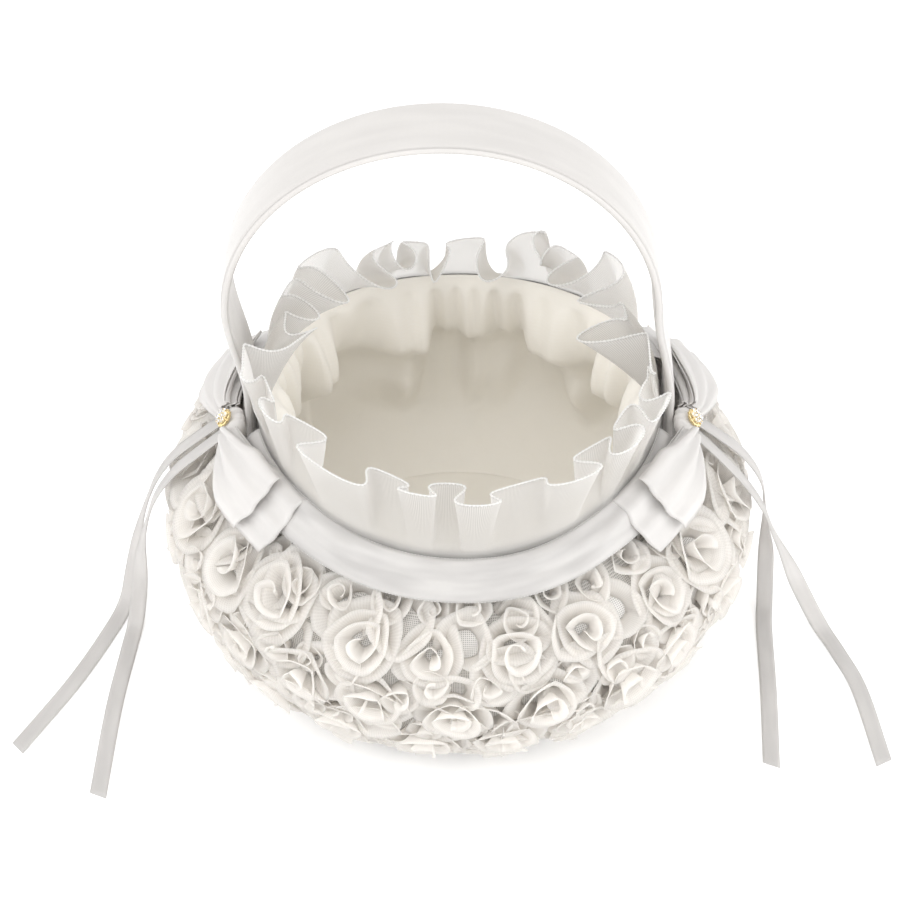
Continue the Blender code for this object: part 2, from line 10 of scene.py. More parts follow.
import bmesh
import bpy
import numpy as np
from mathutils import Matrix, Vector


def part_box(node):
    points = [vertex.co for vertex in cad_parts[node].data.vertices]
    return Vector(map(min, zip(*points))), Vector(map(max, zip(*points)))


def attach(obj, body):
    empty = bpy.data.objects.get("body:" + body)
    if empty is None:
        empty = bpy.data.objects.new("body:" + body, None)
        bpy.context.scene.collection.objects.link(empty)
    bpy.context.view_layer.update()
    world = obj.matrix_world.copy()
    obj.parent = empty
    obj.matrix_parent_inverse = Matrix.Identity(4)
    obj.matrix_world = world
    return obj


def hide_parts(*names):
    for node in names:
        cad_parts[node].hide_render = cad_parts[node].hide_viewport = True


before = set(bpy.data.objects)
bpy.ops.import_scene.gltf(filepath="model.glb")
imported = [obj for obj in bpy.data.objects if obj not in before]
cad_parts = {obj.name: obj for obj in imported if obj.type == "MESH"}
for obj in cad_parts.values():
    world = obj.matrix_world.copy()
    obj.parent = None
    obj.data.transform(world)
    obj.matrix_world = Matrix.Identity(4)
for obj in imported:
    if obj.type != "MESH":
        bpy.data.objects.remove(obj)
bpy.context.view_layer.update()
BODY = "basket"
HANDLE_BODY = "handle"

# The camera.
CAMERA_TARGET = np.array((-0.0032, 0.0084, 0.0713))
CAMERA_DISTANCE = 1.0
CAMERA_ELEVATION = math.radians(42.3)
CAMERA_LENS = 111.6
SENSOR_WIDTH = 36.0

# The wall's outline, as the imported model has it.
BELLY_RADIUS = 0.105
BELLY_HEIGHT = 0.060
UPPER_RISE = 0.046
LOWER_DROP = 0.081
SHOULDER_TURN = math.radians(33)
SHOULDER_SLOPE = math.radians(45)
LOWEST_TURN = math.radians(-54)
MOUTH_RADIUS = 0.075
SIDE_LIFT = 0.008
MOUTH_SQUEEZE = 0.06
ROSE_DEPTH = 0.0070
SATIN_DEPTH = 0.0083
LINING_DEPTH = 0.0125

# The pockets that the handle's feet are tucked in and tilt in: their sides and their reach.
POCKET_SIDES = (0.0660, 0.0770)
POCKET_REACH = 0.0165

# The rim.
BAND_WIDTH = 0.0139
BAND_LIFT = 0.0006
BAND_START = -0.0004
BAND_REACH = math.radians(75.5)
RUFFLE_BASE = 0.0985
RUFFLE_HEIGHT = 0.0345
RUFFLE_RADIUS = 0.0738
RUFFLE_FLARE = 0.0013
RUFFLE_LEANS = tuple(math.radians(lean) for lean in (-5, 20, 27))
RUFFLE_PLEATS = 19
PLEAT_DEPTHS = (0.0062, 0.0088)
PLEAT_OVERLAP = 0.060
LEG_SWING = 0.009
LEG_OUTSIDE = 0.0750
LEG_CLEARANCE = 0.0014
LEG_PRESS = 0.026
LEG_PRESS_FADE = 0.006
LINING_NECK = ((0.0725, 0.1001), (0.0716, 0.1005), (0.0702, 0.1000), (0.0695, 0.0980))
NECK_ROLL = 0.0018
CURTAIN_DEPTH = 0.0045
FOLD_DEPTH = 0.0150
FLOOR_MEETS = 0.1215
LINING_SLOPES = (0.004, 0.1245)

# The overcast stitches along an edge: their pitch, and the thread's and a stitch's radius.
BAND_STITCHES = (0.0011, (0.00012, 0.00026))
RUFFLE_STITCHES = (0.0013, (0.00018, 0.00042))

# How thick each cloth is.
THICKNESS = {
    "satin_cover": 0.0004, "tulle_net": 0.0002, "rose_ribbon": 0.00022, "band": 0.0004,
    "ruffle": 0.00025, "lining": 0.0005, "lining_floor": 0.0006, "bow": 0.00035, "streamer": 0.0004,
}

# The handle.
HALF_SPAN = 0.0725
HANDLE_WIDTH = 0.026
HANDLE_THICKNESS = 0.003
HANDLE_TOP = 0.220
HANDLE_SPRING = 0.150
SIDE_LEAN = -0.006
LEAN_START = 0.112
LEAN_RISE = 0.040
HANDLE_FOOT = 0.096

# The base cover's outline: shares of its radius and of its thickness.
BASE_PROFILE = np.array([(0.0, 0.05), (0.90, 0.05), (0.96, 0.0), (0.985, 0.15), (1.0, 0.5),
                         (0.985, 0.85), (0.95, 1.0), (0.0, 1.0)])

# The bows and the ornaments.
KNOT_AZIMUTH = math.radians(81.4)
KNOT_SLOPE = 0.0088
KNOT_HEIGHT = 0.0042
KNOT_RADII = (0.0032, 0.0062, 0.0054)
LOOP_HALF_WIDTHS = (0.0042, 0.0122)
LOOP_HALF_THICKNESSES = (0.0009, 0.0018)
LOOP_EDGE_PINCH = 0.75
LOOP_START_REACH = 0.0066
LOOP_START_RISE = 0.0006
BOW_LOOPS = {
    "front_long": (0.0776, -LOOP_START_REACH, (76, 47), 0.0115, 0.0015),
    "front_short": (0.0808, -LOOP_START_REACH, (76, 54), 0.0115, 0.0072),
    "back_long": (0.0776, LOOP_START_REACH, (86, 124), 0.0145, 0.0010),
    "back_short": (0.0808, LOOP_START_REACH, (86, 113), 0.0150, 0.0060),
}
SETTING_RADIUS = 0.0034
SETTING_THICKNESS = 0.0014
STONE_RADIUS = 0.0009
STONE_HEIGHT = 0.0012
STONE_RING_RADIUS = 0.0022
STONE_COUNT = 6
GAP = 0.0003

# The rosettes: a ribbon wound into each, in rows down the wall.
RIBBON_WIDTH = 0.0092
ROSE_TURNS = 3.3
TURN_STEPS = 26
ROSE_ROWS = ((0.0325, 21), (0.0570, 23), (0.0810, 22), (0.1030, 19))
BUD_ROWS = ((0.0185, 36), (0.0450, 42), (0.0690, 44), (0.0920, 40), (0.1120, 30))
CURL_ROWS = ((0.0240, 30), (0.0450, 30), (0.0690, 30), (0.0930, 26))
TABLE_CLEARANCE = 0.0007

# The streamers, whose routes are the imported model's own.
STREAMER_WIDTH = 0.006
STREAMER_STATIONS = 90
STREAMER_ROUTES = {
    "streamer_right_front": [
        (0.0822, -0.0100, 0.0960), (0.0905, -0.0120, 0.0880),
        (0.1005, -0.0140, 0.0765), (0.1078, -0.0140, 0.0640),
        (0.1125, -0.0120, 0.0500), (0.1200, -0.0095, 0.0310),
        (0.1275, -0.0085, 0.0130), (0.1335, -0.0120, 0.0022),
        (0.1390, -0.0240, 0.0006), (0.1450, -0.0430, 0.0006),
        (0.1500, -0.0790, 0.0006),
    ],
    "streamer_right_back": [
        (0.0822, -0.0020, 0.0960), (0.0905, -0.0010, 0.0882),
        (0.1005, 0.0005, 0.0775), (0.1080, 0.0020, 0.0640),
        (0.1110, 0.0040, 0.0480), (0.1130, 0.0055, 0.0300),
        (0.1140, 0.0050, 0.0120), (0.1140, 0.0000, 0.0020),
        (0.1130, -0.0120, 0.0006), (0.1120, -0.0430, 0.0006),
        (0.1100, -0.0800, 0.0006),
    ],
    "streamer_left_front": [
        (-0.0822, -0.0100, 0.0960), (-0.0905, -0.0100, 0.0880),
        (-0.1005, -0.0090, 0.0770), (-0.1082, -0.0070, 0.0630),
        (-0.1125, -0.0045, 0.0480), (-0.1160, -0.0030, 0.0300),
        (-0.1180, -0.0050, 0.0120), (-0.1195, -0.0110, 0.0022),
        (-0.1210, -0.0220, 0.0006), (-0.1240, -0.0520, 0.0006),
        (-0.1260, -0.0940, 0.0006),
    ],
    "streamer_left_back": [
        (-0.0822, -0.0020, 0.0960), (-0.0905, -0.0015, 0.0882),
        (-0.1005, 0.0000, 0.0775), (-0.1080, 0.0030, 0.0640),
        (-0.1135, 0.0055, 0.0480), (-0.1180, 0.0070, 0.0300),
        (-0.1215, 0.0060, 0.0120), (-0.1240, 0.0000, 0.0022),
        (-0.1290, -0.0140, 0.0006), (-0.1400, -0.0400, 0.0006),
        (-0.1570, -0.0720, 0.0006),
    ],
}

# Each cloth: its colour and the colour of its thin places, and whatever differs from a plain satin.
CLOTHS = {
    # The band's and the handle's satin: painted shade. They are the same white satin as the bows,
    # made darker in colour to stand in for the shade on the band and the handle.
    "band_satin_painted_shade": dict(colour=(0.64, 0.625, 0.61), shade=(0.55, 0.53, 0.51), roughness=0.34,
                       glow=0.10, painted_sheen=0.26),
    "bow_satin": dict(colour=(0.90, 0.885, 0.87), shade=(0.86, 0.84, 0.82), glow=0.40,
                      painted_sheen=0.08),
    "narrow_satin": dict(colour=(0.78, 0.765, 0.75), shade=(0.72, 0.70, 0.68), glow=0.40,
                         painted_sheen=0.12),
    "ground_satin": dict(colour=(0.94, 0.925, 0.90), shade=(0.89, 0.87, 0.83), roughness=0.45,
                         sheen=0.1, crease=0.2, anisotropy=0.4),
    "handle_satin_painted_shade": dict(colour=(0.63, 0.61, 0.59), shade=(0.57, 0.55, 0.53), roughness=0.38,
                         sheen=0.2, crease=0.2, anisotropy=0.4, painted_sheen=0.08),
    "lining": dict(colour=(0.97, 0.945, 0.89), shade=(0.94, 0.90, 0.82), roughness=0.50,
                   sheen=0.2, pitch=0.0005, weave=0.15, crease=0.35, anisotropy=0.3),
    "organza": dict(colour=(0.87, 0.86, 0.845), shade=(0.82, 0.805, 0.785), roughness=0.50,
                    sheen=0.3, glow=0.78, holes=0.36, pitch=0.0004, weave=0.15, crease=0.2,
                    anisotropy=0.0),
    "chiffon": dict(colour=(0.97, 0.955, 0.935), shade=(0.92, 0.90, 0.87), roughness=0.60,
                    sheen=0.4, glow=0.66, holes=0.10, pitch=0.00055, weave=0.15, crease=0.3,
                    anisotropy=0.0),
    "tulle": dict(colour=(0.97, 0.96, 0.95), shade=(0.93, 0.92, 0.90), roughness=0.60,
                  sheen=0.3, glow=0.30, holes=0.55, pitch=0.0008, weave=0.6, crease=0.2,
                  anisotropy=0.0),
    "thread": dict(colour=(0.95, 0.945, 0.93), shade=(0.90, 0.89, 0.87), roughness=0.55,
                   sheen=0.4, glow=0.30, pitch=0.0003, weave=0.6, crease=0.1, anisotropy=0.0),
}

# Painted sheen: dark streaks painted into a satin ribbon's colour along its length, standing in for
# the uneven shine of its reflection.
PAINTED_SHEEN_LENGTH = 0.035
PAINTED_SHEEN_STRETCH = 6.0
PAINTED_SHEEN_COLOUR = (0.22, 0.21, 0.21)

# The lamps: name, place, size and power.
LAMPS = (
    ("front_light", (-0.20, -0.70, 1.45), 0.8, 5.5),
    ("left_light", (-1.1, -0.5, 0.8), 0.9, 5.0),
    ("right_light", (1.1, -0.5, 0.4), 0.9, 6.0),
)
WORLD_STRENGTH = 1.02
FLOOR_RADIUS = 4.0
FLOOR_GLOW = 0.20


def smooth(value):
    """A ramp from 0 to 1 with flat ends."""
    value = np.clip(value, 0.0, 1.0)
    return value * value * (3 - 2 * value)


def mix(first, second, share):
    return first + (second - first) * share


def unit(vectors):
    return vectors / np.linalg.norm(vectors, axis=-1, keepdims=True)


def outline():
    """Rows of radius, height and outward normal down the outside of the roses: a straight
    shoulder, then two quarter ellipses."""
    turn_radius = BELLY_RADIUS * math.cos(SHOULDER_TURN)
    turn_height = BELLY_HEIGHT + UPPER_RISE * math.sin(SHOULDER_TURN)
    run = turn_radius - MOUTH_RADIUS
    rows = []
    for share in np.linspace(0, 1, 8)[:-1]:
        height = turn_height + run * math.tan(SHOULDER_SLOPE) * (1 - share)
        rows.append((MOUTH_RADIUS + run * share, height,
                     math.sin(SHOULDER_SLOPE), math.cos(SHOULDER_SLOPE)))
    for angle in np.linspace(SHOULDER_TURN, LOWEST_TURN, 60):
        rise = UPPER_RISE if angle > 0 else LOWER_DROP
        normal = unit(np.array((math.cos(angle) / BELLY_RADIUS, math.sin(angle) / rise)))
        rows.append((BELLY_RADIUS * math.cos(angle), BELLY_HEIGHT + rise * math.sin(angle),
                     normal[0], normal[1]))
    return np.array(rows)


OUTLINE = outline()
ALONG = np.concatenate([[0.0], np.cumsum(np.hypot(*np.diff(OUTLINE[:, :2], axis=0).T))])


def pull_mouth(x, y, z):
    """Where points of the plain turned shape go: the handle draws the mouth in and up at the
    two sides."""
    reach = smooth((z - BELLY_HEIGHT) / (OUTLINE[0, 1] - BELLY_HEIGHT))
    side = x * x / np.maximum(x * x + y * y, 1e-12)
    return np.stack([x * (1 - MOUTH_SQUEEZE * reach), y, z + SIDE_LIFT * side * reach], axis=-1)


def turned(azimuth, radius, height):
    """Points at this azimuth, radius and height of the plain turned shape."""
    azimuth, radius, height = np.broadcast_arrays(azimuth, radius, height)
    return pull_mouth(radius * np.sin(azimuth), -radius * np.cos(azimuth), height)


def on_wall(azimuth, slope, height):
    """Points on the wall, at a height above the outside of the roses."""
    azimuth, slope, height = np.broadcast_arrays(azimuth, slope, height)
    inside = np.maximum(slope, 0.0)
    radius, level, out, up = (np.interp(inside, ALONG, OUTLINE[:, i]) for i in range(4))
    above = np.minimum(slope, 0.0)
    radius = radius + above * math.cos(SHOULDER_SLOPE) + height * out
    level = level - above * math.sin(SHOULDER_SLOPE) + height * up
    return turned(azimuth, radius, level)


def clear_of_feet(points, height):
    """Pockets pressed in a layer of the wall at the two sides, no higher than this, where the
    handle's feet are tucked in and tilt."""
    side, along = np.abs(points[..., 0]), np.abs(points[..., 1])
    pocket = smooth((side - POCKET_SIDES[0]) / 0.0015)
    pocket = pocket * (1 - smooth((side - POCKET_SIDES[1]) / 0.0030))
    pocket = pocket * (1 - smooth((along - POCKET_REACH) / 0.0030))
    pressed = points.copy()
    pressed[..., 2] = mix(points[..., 2], np.minimum(points[..., 2], height), pocket)
    return pressed


def waves(angle, rng, counts):
    """An even, slow random wave round the rim, mostly between -1 and 1."""
    total = np.zeros_like(angle)
    for count in counts:
        total += math.sqrt(1.2 / len(counts)) * np.sin(count * angle + rng.uniform(0, 2 * math.pi))
    return total


def grid_faces(rows, columns):
    """The quads of a grid of points."""
    i, j = np.meshgrid(np.arange(rows - 1), np.arange(columns - 1), indexing="ij")
    first = i * columns + j
    return np.stack([first, first + 1, first + columns + 1, first + columns], -1).reshape(-1, 4)


def grid_uv(rows, columns, length, width):
    """Coordinates in metres on a grid, along its rows and across."""
    u, v = np.meshgrid(np.linspace(0, length, rows), np.linspace(0, width, columns),
                       indexing="ij")
    return np.stack([u, v], -1)


def disc_grid(radius, turn, height):
    """A round grid from its radii, azimuths and heights, with its plan as coordinates."""
    points = np.stack(np.broadcast_arrays(radius * np.sin(turn), -radius * np.cos(turn), height),
                      -1)
    return points, points[..., :2].copy()


def mesh_of(name, grids, weld=False):
    """One mesh from several grids, each given as points and coordinates."""
    points, uvs, faces, start = [], [], [], 0
    for grid, uv in grids:
        rows, columns = grid.shape[:2]
        points.append(grid.reshape(-1, 3))
        uvs.append(uv.reshape(-1, 2))
        faces.append(grid_faces(rows, columns) + start)
        start += rows * columns
    mesh = bpy.data.meshes.new(name)
    mesh.from_pydata(np.concatenate(points).tolist(), [], np.concatenate(faces).tolist())
    corner_points = np.empty(len(mesh.loops), np.int32)
    mesh.loops.foreach_get("vertex_index", corner_points)
    layer = mesh.uv_layers.new(name="cloth")
    layer.data.foreach_set("uv", np.concatenate(uvs)[corner_points].astype(np.float32).ravel())
    if weld:
        bm = bmesh.new()
        bm.from_mesh(mesh)
        bmesh.ops.remove_doubles(bm, verts=bm.verts, dist=1e-6)
        bmesh.ops.dissolve_degenerate(bm, dist=1e-7, edges=bm.edges)
        bmesh.ops.recalc_face_normals(bm, faces=bm.faces)
        bm.to_mesh(mesh)
        bm.free()
    mesh.shade_smooth()
    return mesh


def add_piece(name, mesh, material, slot, body=BODY, thickness=0.0, nodes=()):
    """Puts a piece in the scene, as cloth of a thickness, riding on its body in place of nodes."""
    piece = bpy.data.objects.new(name, mesh)
    bpy.context.scene.collection.objects.link(piece)
    mesh.materials.append(material)
    if thickness:
        cloth = piece.modifiers.new("thickness", "SOLIDIFY")
        cloth.thickness = thickness
        cloth.offset = 0
    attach(piece, body)
    if nodes:
        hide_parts(*nodes)
    return piece


def add_grids(name, grids, material, slot, weld=False, **settings):
    """A piece made of grids."""
    return add_piece(name, mesh_of(name + "_mesh", grids, weld), material, slot, **settings)


def smooth_route(points, count):
    """Points spaced evenly along a Catmull-Rom curve through the points given."""
    given = np.array(points)
    padded = np.vstack([2 * given[0] - given[1], given, 2 * given[-1] - given[-2]])
    dense = []
    for a, b, c, d in zip(padded, padded[1:], padded[2:], padded[3:]):
        for t in np.linspace(0, 1, 20, endpoint=False):
            dense.append(0.5 * (2 * b + (c - a) * t + (2 * a - 5 * b + 4 * c - d) * t**2
                                + (3 * b - a - 3 * c + d) * t**3))
    dense.append(given[-1])
    return spaced(np.array(dense), count)


def spaced(line, count):
    """Points spaced evenly along a line of points."""
    along = np.concatenate([[0.0], np.cumsum(np.linalg.norm(np.diff(line, axis=0), axis=1))])
    wanted = np.linspace(0, along[-1], count)
    return np.stack([np.interp(wanted, along, line[:, i]) for i in range(3)], -1)


def length_of(line):
    return float(np.linalg.norm(np.diff(line, axis=0), axis=-1).sum())


def directions(line):
    """The direction of a line at each of its points."""
    return unit(np.gradient(line, axis=0))


def stitch_grid(line, pitch, radii, sides=6):
    """A thread along a line, with a bead at each stitch."""
    length = length_of(line)
    stitches = max(int(length / pitch), 2)
    path = spaced(line, 4 * stitches + 1)
    along = directions(path)
    side = unit(np.cross(along, (0.0, 0.0, 1.0)))
    up = np.cross(side, along)
    size = mix(radii[0], radii[1], 0.5 - 0.5 * np.cos(np.arange(len(path)) * math.pi / 2))
    turn = np.linspace(0, 2 * math.pi, sides + 1)[None, :, None]
    ring = side[:, None] * np.cos(turn) + up[:, None] * np.sin(turn)
    points = path[:, None] + ring * size[:, None, None]
    return points, grid_uv(len(path), sides + 1, length, 2 * math.pi * radii[1])


# Materials.


def add_node(tree, kind, inputs=None, **settings):
    """A shader node with its settings, its inputs set or linked."""
    node = tree.nodes.new("ShaderNode" + kind)
    for key, value in settings.items():
        setattr(node, key, value)
    for key, value in (inputs or {}).items():
        if isinstance(value, bpy.types.NodeSocket):
            tree.links.new(value, node.inputs[key])
        else:
            node.inputs[key].default_value = value
    return node


def new_material(name):
    material = bpy.data.materials.new(name)
    material.use_nodes = True
    material.node_tree.nodes.clear()
    return material, material.node_tree


def noise(tree, vector, size, detail=3.0):
    """Smooth noise from 0 to 1 whose blotches are about this size."""
    return add_node(tree, "TexNoise", {"Vector": vector, "Scale": 1 / size, "Detail": detail})


def ridges(tree, vector, direction, pitch):
    """Even ridges with this pitch, from 0 to 1."""
    scale = 2 * math.pi / (20 * pitch)
    return add_node(tree, "TexWave", {"Vector": vector, "Scale": scale, "Distortion": 0.0},
                    bands_direction=direction)


def math_node(tree, operation, first, second):
    return add_node(tree, "Math", {0: first, 1: second}, operation=operation).outputs[0]


def mixed_colour(tree, share, first, second):
    node = add_node(tree, "Mix", {"Factor": share}, data_type="RGBA")
    for socket, colour in zip((node.inputs[6], node.inputs[7]), (first, second)):
        if isinstance(colour, bpy.types.NodeSocket):
            tree.links.new(colour, socket)
        else:
            socket.default_value = (*colour, 1)
    return node.outputs[2]


def cloth_material(name, colour, shade, roughness=0.36, sheen=0.15, glow=0.0, holes=0.0,
                   pitch=0.00035, weave=0.12, crease=0.25, anisotropy=0.5, painted_sheen=0.0):
    """A woven cloth, with ridges both ways at this pitch, uneven tone, soft creases and painted
    sheen:
    dark streaks painted into its colour along the ribbon in place of the satin's uneven shine. Light
    comes through it by its glow, and its holes let sight through."""
    material, tree = new_material(name)
    place = add_node(tree, "TexCoord")
    thread_u = ridges(tree, place.outputs["UV"], "X", pitch).outputs["Fac"]
    thread_v = ridges(tree, place.outputs["UV"], "Y", pitch).outputs["Fac"]
    woven = math_node(tree, "MAXIMUM", thread_u, thread_v)
    blotch = noise(tree, place.outputs["Object"], 0.012).outputs["Fac"]
    fine = noise(tree, place.outputs["Object"], 0.0012).outputs["Fac"]
    thin = math_node(tree, "SUBTRACT", 1.0, woven)
    uneven = math_node(tree, "ADD", math_node(tree, "MULTIPLY", blotch, 0.4),
                       math_node(tree, "MULTIPLY", fine, 0.2))
    uneven = math_node(tree, "ADD", uneven, math_node(tree, "MULTIPLY", thin, 0.4))
    tone = mixed_colour(tree, uneven, colour, shade)
    # Painted sheen: dark streaks along the ribbon mixed into the colour, standing in for the satin's
    # uneven reflection.
    if painted_sheen:
        stretched = add_node(tree, "Mapping", {"Vector": place.outputs["UV"],
                                               "Scale": (1.0, PAINTED_SHEEN_STRETCH, 1.0)}).outputs[0]
        painted_sheen_share = add_node(tree, "MapRange", {
            "Value": noise(tree, stretched, PAINTED_SHEEN_LENGTH, 2.0).outputs["Fac"],
            "From Min": 0.38, "From Max": 0.62, "To Min": 0.0, "To Max": painted_sheen,
        }).outputs[0]
        tone = mixed_colour(tree, painted_sheen_share, tone, PAINTED_SHEEN_COLOUR)
    rough = add_node(tree, "MapRange", {"Value": fine, "To Min": roughness - 0.08,
                                        "To Max": roughness + 0.10}).outputs[0]
    relief = math_node(tree, "MULTIPLY", woven, weave)
    relief = math_node(tree, "ADD", relief, math_node(tree, "MULTIPLY", fine, crease))
    bump = add_node(tree, "Bump", {"Height": relief, "Strength": 0.5, "Distance": 0.00025})
    base = add_node(tree, "BsdfPrincipled", {
        "Base Color": tone, "Roughness": rough, "Normal": bump.outputs[0],
        "Sheen Weight": sheen, "Sheen Roughness": 0.4, "Anisotropic": anisotropy,
        "Specular IOR Level": 0.4,
    }).outputs[0]
    if glow:
        passing = add_node(tree, "BsdfTranslucent", {"Color": tone, "Normal": bump.outputs[0]})
        base = add_node(tree, "MixShader", {0: glow, 1: base, 2: passing.outputs[0]}).outputs[0]
    if holes:
        clear = add_node(tree, "BsdfTransparent")
        gap = add_node(tree, "MapRange", {
            "Value": woven, "From Min": 0.25, "From Max": 0.95,
            "To Min": min(1.3 * holes, 1.0), "To Max": 0.5 * holes,
        }).outputs[0]
        base = add_node(tree, "MixShader", {0: gap, 1: base, 2: clear.outputs[0]}).outputs[0]
    add_node(tree, "OutputMaterial", {"Surface": base})
    return material


def plain_material(name, colour, shade, roughness, grain, metallic=0.0, relief=0.3, **inputs):
    """A solid material with uneven tone, roughness and a fine grain."""
    material, tree = new_material(name)
    place = add_node(tree, "TexCoord").outputs["Object"]
    blotch = noise(tree, place, 8 * grain).outputs["Fac"]
    fine = noise(tree, place, grain).outputs["Fac"]
    tone = mixed_colour(tree, blotch, colour, shade)
    rough = add_node(tree, "MapRange", {"Value": fine, "To Min": roughness * 0.8,
                                        "To Max": roughness * 1.25}).outputs[0]
    bump = add_node(tree, "Bump", {"Height": fine, "Strength": relief, "Distance": grain * 0.2})
    shader = add_node(tree, "BsdfPrincipled", {
        "Base Color": tone, "Roughness": rough, "Normal": bump.outputs[0], "Metallic": metallic,
        **inputs,
    })
    add_node(tree, "OutputMaterial", {"Surface": shader.outputs[0]})
    return material


def make_materials():
    made = {name: cloth_material(name, **values) for name, values in CLOTHS.items()}
    made["plastic"] = plain_material("plastic", (0.75, 0.74, 0.72), (0.70, 0.69, 0.67), 0.45, 0.001)
    made["board"] = plain_material("board", (0.58, 0.50, 0.38), (0.48, 0.40, 0.29), 0.85, 0.0008)
    made["wire"] = plain_material("wire", (0.62, 0.62, 0.64), (0.52, 0.52, 0.55), 0.30, 0.0006, 1.0)
    made["gold"] = plain_material("gold", (0.92, 0.76, 0.44), (0.82, 0.64, 0.32), 0.20, 0.0005, 1.0)
    made["crystal"] = plain_material(
        "crystal", (0.97, 0.98, 1.0), (0.93, 0.95, 1.0), 0.03, 0.0004, relief=0.02,
        **{"Transmission Weight": 0.9, "IOR": 1.6},
    )
    return made


# The camera, the light and the floor.


def add_camera():
    camera = bpy.data.objects.new("camera", bpy.data.cameras.new("camera"))
    bpy.context.scene.collection.objects.link(camera)
    back = np.array((0.0, -math.cos(CAMERA_ELEVATION), math.sin(CAMERA_ELEVATION)))
    camera.location = CAMERA_TARGET + CAMERA_DISTANCE * back
    camera.rotation_euler = (math.pi / 2 - CAMERA_ELEVATION, 0, 0)
    camera.data.lens = CAMERA_LENS
    camera.data.sensor_width = SENSOR_WIDTH
    bpy.context.scene.camera = camera


def add_light(name, place, size, power):
    lamp = bpy.data.lights.new(name, "AREA")
    lamp.size = size
    lamp.energy = power
    light = bpy.data.objects.new(name, lamp)
    bpy.context.scene.collection.objects.link(light)
    light.location = place
    toward = CAMERA_TARGET - np.array(place)
    flat = math.hypot(toward[0], toward[1])
    light.rotation_euler = (math.atan2(flat, -toward[2]), 0,
                            math.atan2(toward[1], toward[0]) - math.pi / 2)


def add_studio():
    """A faintly glowing white floor in soft white light from all round, with a large lamp above
    the camera and one at each side."""
    world = bpy.data.worlds.new("studio")
    world.use_nodes = True
    background = world.node_tree.nodes["Background"]
    background.inputs["Color"].default_value = (1.0, 1.0, 1.0, 1.0)
    background.inputs["Strength"].default_value = WORLD_STRENGTH
    bpy.context.scene.world = world
    bpy.context.scene.view_settings.view_transform = "Standard"
    for lamp in LAMPS:
        add_light(*lamp)

    bm = bmesh.new()
    bmesh.ops.create_circle(bm, cap_ends=True, segments=64, radius=FLOOR_RADIUS)
    mesh = bpy.data.meshes.new("floor")
    bm.to_mesh(mesh)
    bm.free()
    floor = bpy.data.objects.new("floor", mesh)
    bpy.context.scene.collection.objects.link(floor)
    mesh.materials.append(plain_material(
        "floor", (0.97, 0.97, 0.97), (0.96, 0.96, 0.96), 0.9, 0.004, relief=0.02,
        **{"Emission Color": (1, 1, 1, 1), "Emission Strength": FLOOR_GLOW},
    ))


# The streamers.


def add_streamers(materials):
    """Narrow satin ribbons from under each knot over the belly and down to the table. A ribbon
    lies flat on the belly and on the table, and turns over between them."""
    for name, route in STREAMER_ROUTES.items():
        line = smooth_route(route, STREAMER_STATIONS)
        along = directions(line)
        table_across = unit(np.cross((0.0, 0.0, 1.0), line[-1] - line[-16]))
        if table_across[1] < 0:
            table_across = -table_across
        landed = smooth((0.055 - line[:, 2:]) / 0.050)
        across = mix(np.array((0.0, 1.0, 0.0)), table_across, landed)
        across = unit(across - (across * along).sum(-1, keepdims=True) * along)
        face = unit(np.cross(along, across))
        w = np.linspace(-1, 1, 7)[None, :, None]
        curl = 0.00025 * (1 - w * w) * (1 - landed[:, None])
        grid = line[:, None] + across[:, None] * w * STREAMER_WIDTH / 2 + face[:, None] * curl
        slant = smooth((np.arange(len(line)) - len(line) + 4) / 3)[:, None, None]
        grid = grid - along[:, None] * slant * (w + 1) * 0.0012
        uv = grid_uv(len(line), 7, length_of(line), STREAMER_WIDTH)
        piece = add_grids(f"{name}_ribbon", [(grid, uv)], materials["narrow_satin"],
                          "narrow_satin", thickness=THICKNESS["streamer"], nodes=[name])


# The wall: its ground of satin and tulle, and the rosettes.


def add_ground(materials):
    """The satin over the bowl and the tulle stretched on it, puckered where roses are sewn on."""
    azimuth = np.linspace(0, 2 * math.pi, 241)[None, :]
    slope = np.linspace(-0.001, ALONG[-1], 70)[:, None]
    for name, depth, cloth, slot, ripple, last, pocket in (
        ("satin_cover", SATIN_DEPTH, "ground_satin", "satin", 0.0, 1.0, 0.0900),
        ("tulle_net", ROSE_DEPTH, "tulle", "tulle", 0.0005, 0.94, 0.0908),
    ):
        lift = ripple * np.sin(37 * azimuth + 90 * slope) * np.sin(410 * slope + 3 * azimuth)
        points = clear_of_feet(on_wall(azimuth, slope * last, lift - depth), pocket)
        points[..., 2] = np.maximum(points[..., 2], TABLE_CLEARANCE)
        uv = grid_uv(70, 241, ALONG[-1], 2 * math.pi * BELLY_RADIUS)
        add_grids(f"{name}_cloth", [(points, uv)], materials[cloth], slot, weld=True,
                  thickness=THICKNESS[name], nodes=[name])


